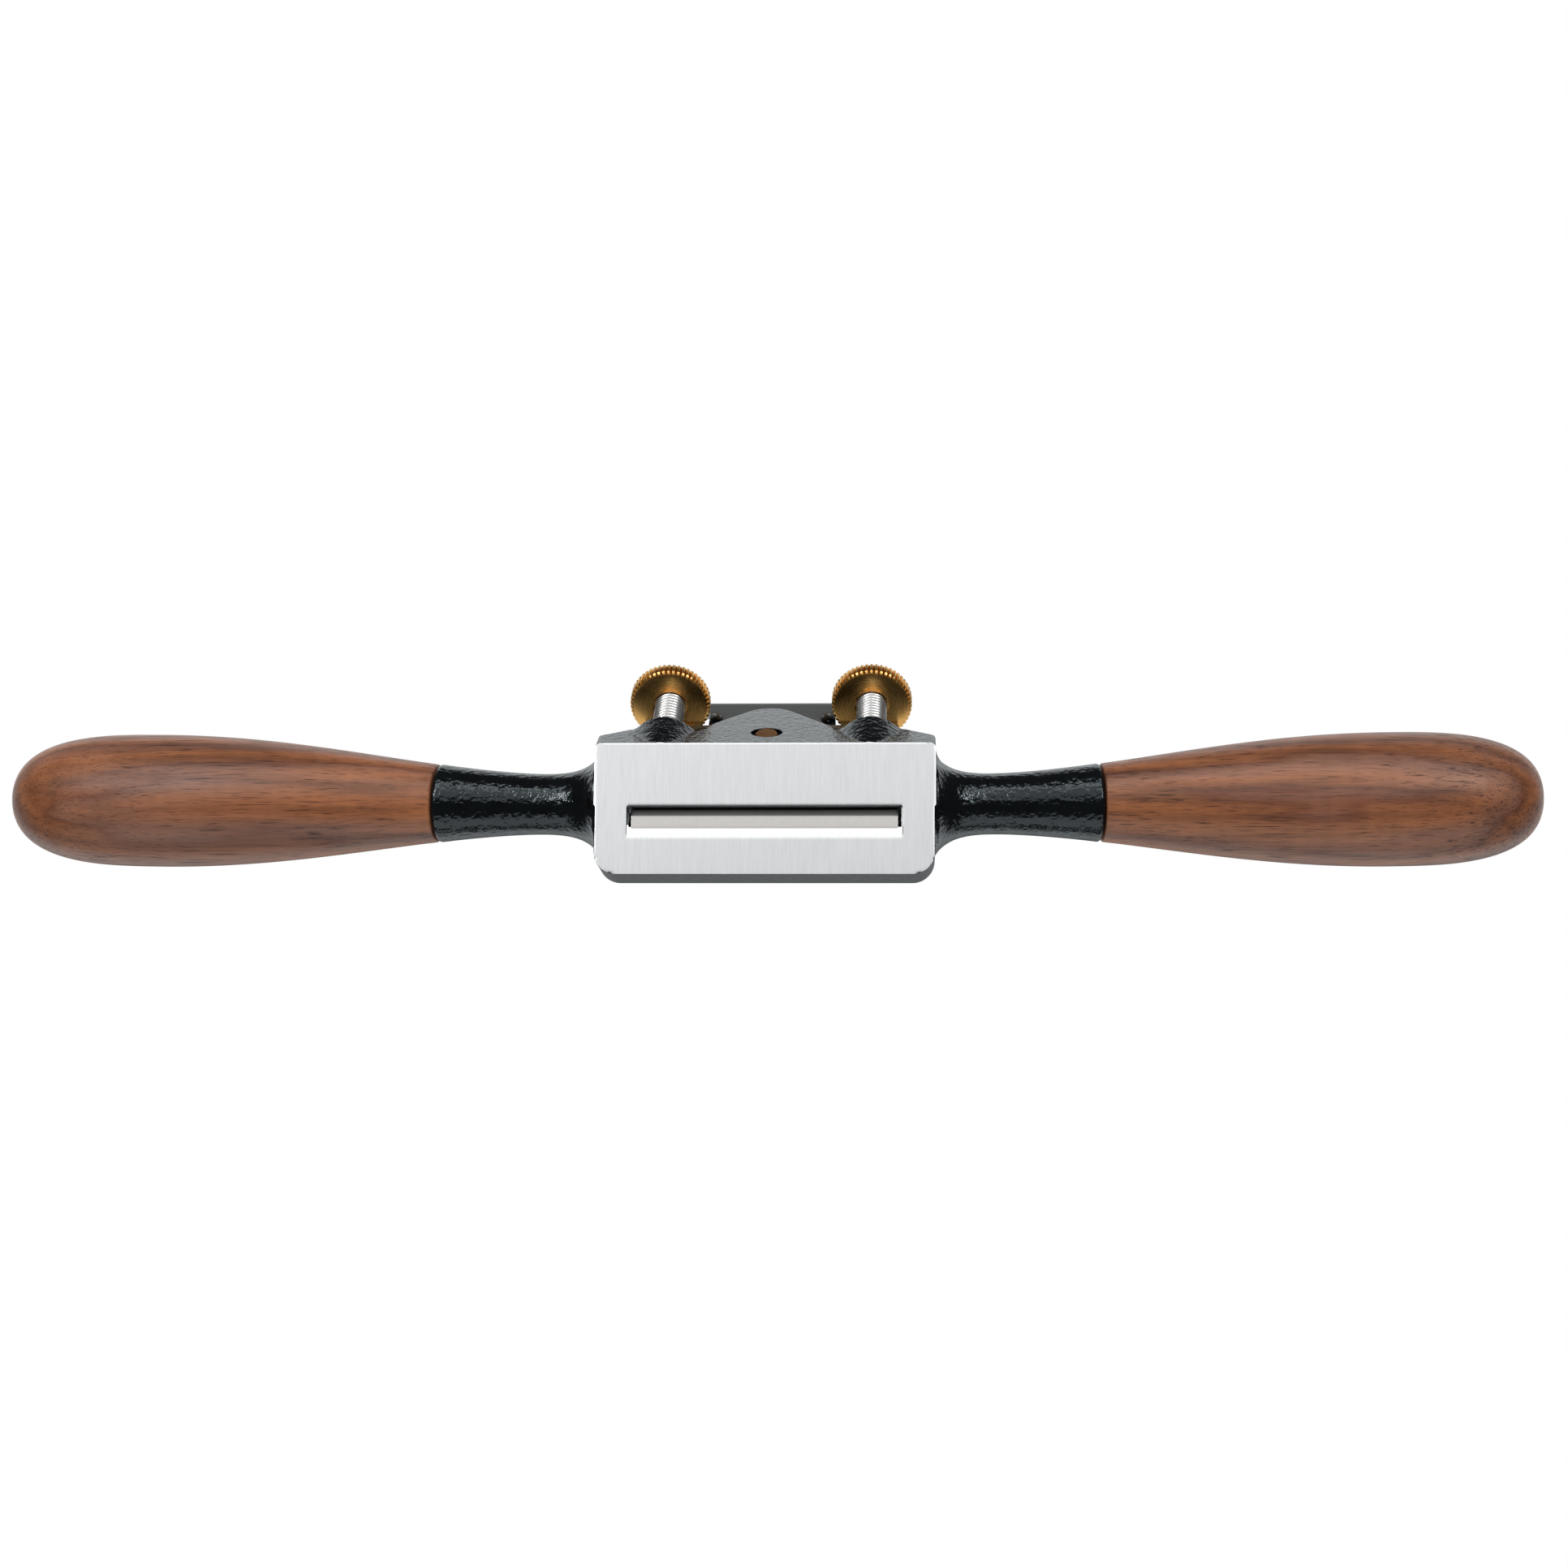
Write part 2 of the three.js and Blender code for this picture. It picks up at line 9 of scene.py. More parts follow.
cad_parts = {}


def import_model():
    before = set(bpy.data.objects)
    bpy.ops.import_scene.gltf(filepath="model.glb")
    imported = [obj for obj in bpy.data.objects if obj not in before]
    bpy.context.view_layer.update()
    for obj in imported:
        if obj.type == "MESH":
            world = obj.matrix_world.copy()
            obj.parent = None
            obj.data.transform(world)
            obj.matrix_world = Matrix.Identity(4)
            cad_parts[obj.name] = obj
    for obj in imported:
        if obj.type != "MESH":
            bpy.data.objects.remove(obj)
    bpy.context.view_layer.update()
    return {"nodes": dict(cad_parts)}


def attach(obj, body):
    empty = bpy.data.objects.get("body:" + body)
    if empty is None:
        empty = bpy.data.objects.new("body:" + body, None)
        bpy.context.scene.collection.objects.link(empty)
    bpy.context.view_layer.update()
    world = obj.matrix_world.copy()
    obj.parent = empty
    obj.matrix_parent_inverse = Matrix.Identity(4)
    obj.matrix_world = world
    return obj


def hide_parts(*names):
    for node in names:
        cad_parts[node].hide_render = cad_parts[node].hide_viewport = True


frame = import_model()
nodes = frame["nodes"]

MM = 0.001
SIDES = {"left": 1, "right": -1}

# Sizes that the CAD shares
SOLE_HALF = 32.5
HEEL_Y = 9.8
TOE_Y = -15.8
TOE_CORNER = 4.3
HEEL_CORNER = 1.3
TOE_HEIGHT = 12.0
MOUTH_HALF = 26.3
MOUTH_FRONT = -8.5
MOUTH_REAR = -2.6
THROAT_STEP = 3.0
THROAT_FLARE = 2.4
THROAT_DRAFT = math.tan(math.radians(8))
ESCAPE_DEPTH = 2.2
ESCAPE_LEAN = 0.2
MOUTH_GAP = 1.35
BLADE_THICKNESS = 1.6
FACE_GAP = 0.3
HEEL_SLOPE = math.radians(61.3)
HEEL_TRIM = math.radians(41)
BOSS_TOP = 21.6
SIDE_SHOULDER = 17.5
BOSS_TOP_HALF = 27.0
HUMP_HALF = 14.1
HUMP_ROUND = 5.5
HUMP_TOP = 36.7
HUMP_SLOPE = math.radians(53)
STUD_X = 20.15
STUD_BELOW = 4.0
STUD_LOW = 12.6
STUD_HIGH = 46.0
STUD_RADIUS = 3.0
BOSS_RADIUS = 6.5
NUT_AT = 37.4
NUT_RADIUS = 8.0
NUT_THICKNESS = 3.55
NUT_TEETH = 50
NUT_BORE = 3.1
SIDE_SLOT_PLAY = 1.25
SIDE_SLOT_END_GAP = 2.35
BLADE_HALF = 25.5
BLADE_LENGTH = 43.5
BEVEL = math.radians(35)
SCREW_SLOT_REACH = 5.0
SCREW_SLOT_RADIUS = 3.3
CAP_SCREW_AT = 18.7
CAP_SCREW_BACK = -8.42
CAP_SCREW_RADIUS = 2.5
CAP_SCREW_HEAD = 4.5
CAP_SCREW_HEAD_HEIGHT = 2.6
COUNTERSINK_DEPTH = 1.4
CAP_UNDER = 1.9
CAP_TOP = 6.3
CAP_SETBACK = 2.2
CAP_END = 45.45
CAP_SHOULDER = 12.5
CAP_CORNER = 6.0
CAP_NECK_TOP = 33.85
CAP_NOSE_THICKNESS = 0.7
CAP_NOSE_SLOPE = 11.0
CAP_NOSE_RISE = 1.1
CAP_RELIEF = 0.9
KEYHOLE_TRAVEL = 8.0
KEYHOLE_WIDE = 4.8
KEYHOLE_SLIM = 2.8
THUMBSCREW_AT = 37.0
THUMBSCREW_HEAD = 8.0
THUMBSCREW_HEAD_HEIGHT = 5.0
THUMBSCREW_COLLAR = 5.0
THUMBSCREW_COLLAR_HEIGHT = 1.4
THUMBSCREW_TEETH = 44
ARM_HEIGHT = 11.7
ARM_TILT = math.radians(5)
ARM_SWEEP = math.radians(1.65)
ARM_LENGTH = 32.3
ARM_WAIST = 5.53
ARM_FLARE = 4.2
ARM_FLARE_LENGTH = 3.4
ARM_GROWTH = 0.0021
ARM_ROOT_DEPTH = 6.0
HANDLE_LENGTH = 86.7
HANDLE_FRONT = 7.7
HANDLE_FULL = 13.15
HANDLE_FULLEST = 0.65

# Half the cap's neck: 0.6 more than the CAD's, so that the side slots show no background from below
CAP_HALF = 12.8

# The bed frame: x, s up the bed from the cutting edge, w out of the bed, 0 under the blade
BED = math.sqrt(0.5)
BED_Y = MOUTH_FRONT + MOUTH_GAP + BLADE_THICKNESS * BED
BED_Z = -BLADE_THICKNESS * BED
BED_MATRIX = Matrix.Translation((0, BED_Y, BED_Z)) @ Matrix.Rotation(math.pi / 4, 4, "X")
BED_INVERSE = BED_MATRIX.inverted()
BED_TURN = BED_INVERSE.to_3x3()


# ---------------------------------------------------------------- frames

def arm_matrix(side):
    out = Vector((
        side * math.cos(ARM_TILT) * math.cos(ARM_SWEEP),
        math.cos(ARM_TILT) * math.sin(ARM_SWEEP),
        math.sin(ARM_TILT),
    ))
    up = (Vector((0, 0, 1)) - out * out.z).normalized()
    across = out.cross(up)
    basis = Matrix((across, up, out)).transposed().to_4x4()
    if basis.determinant() < 0:
        basis = Matrix((-across, up, out)).transposed().to_4x4()
    return Matrix.Translation((side * SOLE_HALF, 0, ARM_HEIGHT)) @ basis


def stud_matrix(side):
    """Its z runs up the bed, along the stud."""
    place = Matrix.Translation((side * STUD_X, 0, -STUD_BELOW))
    return BED_MATRIX @ place @ Matrix.Rotation(-math.pi / 2, 4, "X")


def screw_matrix(up):
    """Its z points out of the bed."""
    return BED_MATRIX @ Matrix.Translation((0, up, 0))


# ---------------------------------------------------------------- meshes

def new_object(name, verts, faces, matrix=None, sharp=None, local=False):
    """A smooth mesh. With local, the matrix places the object and the vertices stay in its own frame."""
    verts = np.asarray(verts, dtype=float)
    if matrix is not None and not local:
        turn = np.array(matrix.to_3x3())
        verts = verts @ turn.T + np.array(matrix.translation)
    mesh = bpy.data.meshes.new(name)
    mesh.from_pydata((verts * MM).tolist(), [], [list(map(int, f)) for f in faces])
    mesh.validate()
    mesh.update()
    mesh.polygons.foreach_set("use_smooth", [True] * len(mesh.polygons))
    if sharp is not None:
        mesh.set_sharp_from_angle(angle=math.radians(sharp))
    made = bpy.data.objects.new(name, mesh)
    bpy.context.scene.collection.objects.link(made)
    if local:
        turn = matrix.to_3x3().to_quaternion()
        made.matrix_world = Matrix.LocRotScale(matrix.translation * MM, turn, None)
        bpy.context.view_layer.update()
    return made


def revolved(name, rings, segments, matrix, radius_at=None, sharp=35, local=True):
    """Turns (radius, height) rings round z. radius_at(radius, height, angle) may shape a ring."""
    angles = np.arange(segments) * math.tau / segments
    verts, starts = [], []
    for radius, height in rings:
        starts.append(len(verts))
        if radius == 0:
            verts.append((0, 0, height))
            continue
        for angle in angles:
            r = radius_at(radius, height, angle) if radius_at else radius
            verts.append((r * math.cos(angle), r * math.sin(angle), height))
    faces = []
    for (ra, _), (rb, _), a, b in zip(rings, rings[1:], starts, starts[1:]):
        for i in range(segments):
            j = (i + 1) % segments
            if ra == 0:
                faces.append((a, b + j, b + i))
            elif rb == 0:
                faces.append((a + i, a + j, b))
            else:
                faces.append((a + i, a + j, b + j, b + i))
    if rings[0][0] != 0:
        a, b = starts[0], starts[-1]
        for i in range(segments):
            j = (i + 1) % segments
            faces.append((b + i, b + j, a + j, a + i))
    return new_object(name, verts, faces, matrix, sharp, local)


# ---------------------------------------------------------------- distance fields

# How far a normal is measured to each side, and how firmly a vertex is held to its cell's middle
NORMAL_REACH = 0.02
PULL_TO_CENTRE = 0.06


def smooth_min(a, b, k):
    h = np.clip(0.5 + 0.5 * (b - a) / k, 0, 1)
    return b + (a - b) * h - k * h * (1 - h)


def smooth_max(a, b, k):
    return -smooth_min(-a, -b, k)


def fade(z, start, span):
    """0 at height start, rising to 1 over span."""
    return np.clip((z - start) / span, 0, 1)


def polygon(u, v, points):
    """The signed distance to a closed outline of (u, v) points, negative inside."""
    best = np.full(u.shape, np.inf)
    sign = np.ones(u.shape)
    count = len(points)
    for i in range(count):
        (ax, ay), (bx, by) = points[i], points[i - 1]
        ex, ey = bx - ax, by - ay
        wx, wy = u - ax, v - ay
        t = np.clip((wx * ex + wy * ey) / (ex * ex + ey * ey), 0, 1)
        best = np.minimum(best, (wx - ex * t) ** 2 + (wy - ey * t) ** 2)
        above = v >= ay
        below = v < by
        left = ex * wy > ey * wx
        cross = (above & below & left) | (~above & ~below & ~left)
        sign = np.where(cross, -sign, sign)
    return sign * np.sqrt(best)


def contour(field, low, high, step):
    """Dual contouring of field(x, y, z), which is the same on both sides of x = 0, with edges kept sharp.

    Returns the zero surface as vertices and quads."""
    axes = [np.arange(low[i], high[i] + step, step) for i in range(3)]
    half = np.arange(0.5 * step, high[0] + step, step)
    axes[0] = half
    x, y, z = np.meshgrid(*axes, indexing="ij")
    values = field(x, y, z)
    values = np.concatenate([values[::-1], values])
    axes[0] = np.concatenate([-half[::-1], half])
    start = np.array([axis[0] for axis in axes])
    shape = values.shape
    inside = values < 0
    cells, points, normals, corner_sets = [], [], [], []
    for axis in range(3):
        near = [slice(None)] * 3
        far = [slice(None)] * 3
        near[axis] = slice(0, -1)
        far[axis] = slice(1, None)
        hit = np.argwhere(inside[tuple(near)] != inside[tuple(far)])
        b_axis, c_axis = (axis + 1) % 3, (axis + 2) % 3
        keep = (hit[:, b_axis] > 0) & (hit[:, c_axis] > 0)
        keep &= (hit[:, b_axis] < shape[b_axis] - 1) & (hit[:, c_axis] < shape[c_axis] - 1)
        hit = hit[keep]
        other = hit.copy()
        other[:, axis] += 1
        va, vb = values[tuple(hit.T)], values[tuple(other.T)]
        point = start + hit * step
        point[:, axis] += step * va / (va - vb)
        normal = np.empty_like(point)
        for i in range(3):
            ahead, behind = point.copy(), point.copy()
            ahead[:, i] += NORMAL_REACH
            behind[:, i] -= NORMAL_REACH
            normal[:, i] = field(*ahead.T) - field(*behind.T)
        normal[:, 0] = np.where(np.abs(point[:, 0]) < NORMAL_REACH, 0, normal[:, 0])
        normal /= np.linalg.norm(normal, axis=1)[:, None] + 1e-12
        ring = []
        for db, dc in ((0, 0), (-1, 0), (-1, -1), (0, -1)):
            cell = hit.copy()
            cell[:, b_axis] += db
            cell[:, c_axis] += dc
            ring.append(np.ravel_multi_index(tuple(cell.T), shape))
            cells.append(ring[-1])
            points.append(point)
            normals.append(normal)
        quad = np.stack(ring, axis=1)
        quad[va > 0] = quad[va > 0][:, ::-1]
        corner_sets.append(quad)
    cells = np.concatenate(cells)
    points = np.concatenate(points)
    normals = np.concatenate(normals)
    ids, which = np.unique(cells, return_inverse=True)
    total = len(ids)
    many = np.bincount(which, minlength=total).astype(float)

    def summed(weight):
        return np.bincount(which, weights=weight, minlength=total)

    centre = np.stack([summed(points[:, i]) / many for i in range(3)], axis=1)
    offset = np.einsum("ij,ij->i", normals, points - centre[which])
    system = np.zeros((total, 3, 3))
    target = np.zeros((total, 3))
    for i in range(3):
        target[:, i] = summed(normals[:, i] * offset)
        for j in range(3):
            system[:, i, j] = summed(normals[:, i] * normals[:, j])
        system[:, i, i] += PULL_TO_CENTRE * many
    moved = np.linalg.solve(system, target[:, :, None])[:, :, 0]
    moved = np.clip(moved, -step, step)
    quads = np.concatenate(corner_sets)
    return centre + moved, np.searchsorted(ids, quads)


def arm_radius(out):
    flare = ARM_FLARE * np.exp(-np.maximum(out, 0) / ARM_FLARE_LENGTH)
    return ARM_WAIST + flare + ARM_GROWTH * out * out


# How wide the casting's fillets are, each far smaller at the sole, where the edge is ground sharp
SHARP = 0.05
SLAB_ROUND = 2.2
WEDGE_ROUND = 1.3
WEDGE_FILLET = 1.15
BOSS_FILLET = 0.85
BOSS_TOP_ROUND = 0.6
BOSS_TRIM_ROUND = 0.5
ARM_FILLET = 1.15
ARM_END_ROUND = 0.9


def slab_field(x, y, z):
    """The sole plate with its toe bar and cheeks, rounded in plan."""
    middle = (TOE_Y + HEEL_Y) / 2
    half_depth = (HEEL_Y - TOE_Y) / 2
    corner = np.where(y < middle, TOE_CORNER, HEEL_CORNER)
    qx = x - SOLE_HALF + corner
    qy = np.abs(y - middle) - half_depth + corner
    outside = np.hypot(np.maximum(qx, 0), np.maximum(qy, 0))
    plan = outside + np.minimum(np.maximum(qx, qy), 0) - corner
    return smooth_max(plan, z - TOE_HEIGHT, SLAB_ROUND)


def wedge_field(x, y, z, s, w):
    """The bed's wedge with its hump."""
    hump = polygon(x, s, BED_OUTLINE)
    back = math.sin(HEEL_SLOPE) * (y - HEEL_Y) - math.cos(HEEL_SLOPE) * z
    wedge = smooth_max(hump - 0.2, back, WEDGE_ROUND)
    wedge = np.maximum(wedge, MOUTH_REAR - y)
    return np.maximum(wedge, w + FACE_GAP)


def boss_field(x, y, z, s, w):
    boss = np.hypot(x - STUD_X, w + STUD_BELOW) - BOSS_RADIUS
    trim = math.sin(HEEL_TRIM) * (y - HEEL_Y - 0.15) - math.cos(HEEL_TRIM) * z
    boss = smooth_max(boss, s - BOSS_TOP, BOSS_TOP_ROUND)
    boss = smooth_max(boss, trim, BOSS_TRIM_ROUND)
    boss = np.maximum(boss, 2 - s)
    return np.maximum(boss, w + FACE_GAP)


def arm_field(x, y, z):
    """The arm, turned about its own axis. The slope keeps its flare a fair distance."""
    side = arm_matrix(1).inverted()
    across, up, out = [row[0] * x + row[1] * y + row[2] * z + row[3] for row in side[:3]]
    slope = 0.8
    arm = (np.hypot(across, up) - arm_radius(out)) * slope
    arm = smooth_max(arm, out - ARM_LENGTH, ARM_END_ROUND)
    return np.maximum(arm, -out - ARM_ROOT_DEPTH)


def throat_field(x, y, z):
    """The mouth, with the shavings' escape that spreads above it."""
    opening = polygon(y, z, THROAT_OUTLINE)
    throat = np.maximum(opening, x - MOUTH_HALF)
    escape = np.maximum(opening, x - MOUTH_HALF - THROAT_DRAFT * np.maximum(z, 0))
    escape = np.maximum(escape, y - MOUTH_FRONT - ESCAPE_DEPTH - ESCAPE_LEAN * z)
    return np.minimum(throat, escape)


def body_field(x, y, z):
    x = np.abs(x)
    s = ((y - BED_Y) + (z - BED_Z)) * BED
    w = (-(y - BED_Y) + (z - BED_Z)) * BED
    body = smooth_min(slab_field(x, y, z), wedge_field(x, y, z, s, w), SHARP + WEDGE_FILLET * fade(z, 3, 4))
    body = smooth_min(body, boss_field(x, y, z, s, w), SHARP + BOSS_FILLET * fade(z, 3, 4))
    body = smooth_min(body, arm_field(x, y, z), SHARP + ARM_FILLET * fade(z, 1.5, 3))
    body = np.maximum(body, -throat_field(x, y, z))
    body = np.maximum(body, -z)
    # stud sockets, and the countersunk hole of the cap screw
    socket = np.hypot(x - STUD_X, w + STUD_BELOW) - STUD_RADIUS - 0.12
    body = np.maximum(body, -np.maximum(socket, STUD_LOW - 0.5 - s))
    across = np.hypot(x, s - CAP_SCREW_AT)
    body = np.maximum(body, CAP_SCREW_RADIUS + 0.1 - across)
    sink = np.maximum(across - CAP_SCREW_RADIUS - 0.55, w - CAP_SCREW_BACK - COUNTERSINK_DEPTH)
    return np.maximum(body, -sink)


def bed_outline():
    """The bed seen square on, from low shoulders at the sides to the hump in the middle."""
    right = [
        (SOLE_HALF, -30),
        (SOLE_HALF, SIDE_SHOULDER),
        (BOSS_TOP_HALF, BOSS_TOP),
        (HUMP_HALF, BOSS_TOP),
    ]
    for i in range(9):
        angle = math.pi / 2 - HUMP_SLOPE * (1 - i / 8)
        right.append((
            HUMP_ROUND * math.cos(angle),
            HUMP_TOP - HUMP_ROUND * (1 - math.sin(angle)),
        ))
    return right + [(-x, s) for x, s in right[-2::-1]]


def throat_outline():
    """The throat's cross-section in y and z. Its rear wall is upright, then follows the bed."""
    bed_foot_y = BED_Y + BED * FACE_GAP
    bed_foot_z = BED_Z - BED * FACE_GAP
    bed_z = bed_foot_z + MOUTH_REAR - bed_foot_y
    far = 60
    return [
        (MOUTH_FRONT, -3),
        (MOUTH_REAR, -3),
        (MOUTH_REAR, bed_z),
        (MOUTH_REAR + far, bed_z + far),
        (MOUTH_FRONT - THROAT_FLARE, far),
        (MOUTH_FRONT - THROAT_FLARE, THROAT_STEP + THROAT_FLARE),
        (MOUTH_FRONT, THROAT_STEP),
    ]


def cap_outline():
    """Half the cap's outline seen square on, from its nose to its top."""
    nose = MOUTH_HALF - 0.15
    points = [
        (0, CAP_SETBACK),
        (nose, CAP_SETBACK),
        (nose, CAP_SHOULDER - 1),
        (nose - 0.25, CAP_SHOULDER),
    ]
    controls = (
        (nose - 1, CAP_SHOULDER + 0.4),
        (nose - 7, CAP_SHOULDER + 3),
        (CAP_HALF + 1.6, CAP_SHOULDER + 7),
        (CAP_HALF, CAP_NECK_TOP),
    )
    for i in range(15):
        t = i / 14
        parts = ((1 - t) ** 3, 3 * t * (1 - t) ** 2, 3 * t * t * (1 - t), t ** 3)
        points.append(tuple(sum(k * c[axis] for k, c in zip(parts, controls)) for axis in (0, 1)))
    for i in range(9):
        t = i / 8
        points.append((
            CAP_HALF - CAP_CORNER * t * t,
            CAP_END - CAP_CORNER * (1 - t) ** 2,
        ))
    points.append((0, CAP_END))
    return points


BED_OUTLINE = bed_outline()
THROAT_OUTLINE = throat_outline()
CAP_OUTLINE = cap_outline()


# ---------------------------------------------------------------- materials

class Nodes:
    """A material's node tree, with short calls for the nodes that the finishes share."""

    def __init__(self, name):
        self.material = bpy.data.materials.new(name)
        self.material.use_nodes = True
        self.tree = self.material.node_tree
        self.shader = self.tree.nodes["Principled BSDF"]
        coord = self.tree.nodes.new("ShaderNodeTexCoord")
        self.place = coord.outputs["Object"]

    def set(self, **values):
        for key, value in values.items():
            self.shader.inputs[key.replace("_", " ")].default_value = value

    def link(self, a, b):
        self.tree.links.new(a, b)

    def stretch(self, scale):
        node = self.tree.nodes.new("ShaderNodeMapping")
        node.inputs["Scale"].default_value = scale
        self.link(self.place, node.inputs["Vector"])
        return node.outputs[0]

    def noise(self, vector, scale, detail=4, roughness=0.55):
        node = self.tree.nodes.new("ShaderNodeTexNoise")
        node.inputs["Scale"].default_value = scale
        node.inputs["Detail"].default_value = detail
        node.inputs["Roughness"].default_value = roughness
        self.link(vector, node.inputs["Vector"])
        return node.outputs["Fac"]

    def ramp(self, factor, stops):
        node = self.tree.nodes.new("ShaderNodeValToRGB")
        ramp = node.color_ramp
        while len(ramp.elements) < len(stops):
            ramp.elements.new(0.5)
        for element, (at, colour) in zip(ramp.elements, stops):
            element.position = at
            if isinstance(colour, (int, float)):
                colour = (colour, colour, colour)
            element.color = (*colour, 1)
        self.link(factor, node.inputs[0])
        return node.outputs[0]

    def multiply(self, a, b):
        """Two colours multiplied, of which a may be a plain colour. Sockets 6 and 7 are the colours."""
        node = self.tree.nodes.new("ShaderNodeMix")
        node.data_type = "RGBA"
        node.blend_type = "MULTIPLY"
        node.inputs[0].default_value = 1.0
        if isinstance(a, tuple):
            node.inputs[6].default_value = (*a, 1)
        else:
            self.link(a, node.inputs[6])
        self.link(b, node.inputs[7])
        return node.outputs[2]

    def math(self, kind, a, b=0.0):
        node = self.tree.nodes.new("ShaderNodeMath")
        node.operation = kind
        for value, socket in ((a, 0), (b, 1)):
            if isinstance(value, (int, float)):
                node.inputs[socket].default_value = value
            else:
                self.link(value, node.inputs[socket])
        return node.outputs[0]

    def bump(self, heights):
        """Chains (height, strength, distance in mm) bumps into the shader's normal."""
        last = None
        for height, strength, distance in heights:
            node = self.tree.nodes.new("ShaderNodeBump")
            node.inputs["Strength"].default_value = strength
            node.inputs["Distance"].default_value = distance * MM
            self.link(height, node.inputs["Height"])
            if last is not None:
                self.link(last, node.inputs["Normal"])
            last = node.outputs[0]
        self.link(last, self.shader.inputs["Normal"])


def cast_paint():
    """Glossy black paint over sand-cast iron."""
    n = Nodes("cast_paint")
    n.set(Metallic=0.0, Specular_IOR_Level=0.55, Specular_Tint=(0.82, 0.94, 1.0, 1.0))
    coarse = n.noise(n.place, 330, 3, 0.6)
    middle = n.noise(n.place, 1000, 2, 0.5)
    dark, pale = (0.002, 0.0026, 0.003), (0.005, 0.0064, 0.0074)
    tone = n.ramp(n.noise(n.place, 260, 5), ((0.3, dark), (0.75, pale)))
    n.link(tone, n.shader.inputs["Base Color"])
    rough = n.ramp(n.noise(n.place, 500, 4), ((0.3, 0.09), (0.7, 0.17)))
    n.link(rough, n.shader.inputs["Roughness"])
    n.bump(((coarse, 1.0, 0.07), (middle, 1.0, 0.2)))
    return n.material


def brushed_steel(name, colour, roughness, along):
    """Ground steel whose fine scratches run along the given axis."""
    n = Nodes(name)
    n.set(Metallic=1.0)
    fine = [3000, 3000, 3000]
    fine["xyz".index(along)] = 160
    scratch = n.noise(n.stretch(fine), 1.0, 4, 0.6)
    soft = [800, 800, 800]
    soft["xyz".index(along)] = 60
    bands = n.noise(n.stretch(soft), 1.0, 3, 0.5)
    shade = n.multiply(colour, n.ramp(scratch, ((0.3, 0.92), (0.65, 1.0))))
    shade = n.multiply(shade, n.ramp(bands, ((0.3, 0.96), (0.7, 1.0))))
    n.link(shade, n.shader.inputs["Base Color"])
    rough = n.ramp(scratch, ((0.25, roughness - 0.03), (0.75, roughness + 0.04)))
    n.link(rough, n.shader.inputs["Roughness"])
    n.bump(((scratch, 0.25, 0.004),))
    return n.material


def turned_metal(name, colour, dark, roughness, marks=1.0):
    """Metal off the lathe: fine rings round the piece's own z on its faces and its sides."""
    n = Nodes(name)
    n.set(Metallic=1.0)
    axes = n.tree.nodes.new("ShaderNodeSeparateXYZ")
    n.link(n.place, axes.inputs[0])
    x, y, z = axes.outputs
    radius = n.math("SQRT", n.math("ADD", n.math("MULTIPLY", x, x), n.math("MULTIPLY", y, y)))
    across = n.math("ADD", radius, n.math("MULTIPLY", z, 1.7))
    rings = n.tree.nodes.new("ShaderNodeTexNoise")
    rings.noise_dimensions = "1D"
    rings.inputs["Scale"].default_value = 5200
    rings.inputs["Detail"].default_value = 3
    n.link(across, rings.inputs["W"])
    rings = rings.outputs["Fac"]
    patch = n.noise(n.place, 260, 4, 0.55)
    tone = n.ramp(patch, ((0.3, dark), (0.6, colour)))
    tone = n.multiply(tone, n.ramp(rings, ((0.3, 1.0 - 0.1 * marks), (0.6, 1.0))))
    n.link(tone, n.shader.inputs["Base Color"])
    rough = n.ramp(rings, ((0.3, roughness - 0.04), (0.7, roughness + 0.06)))
    n.link(rough, n.shader.inputs["Roughness"])
    n.bump(((rings, 0.35 * marks, 0.006), (n.noise(n.place, 2400, 3), 0.12, 0.01)))
    return n.material


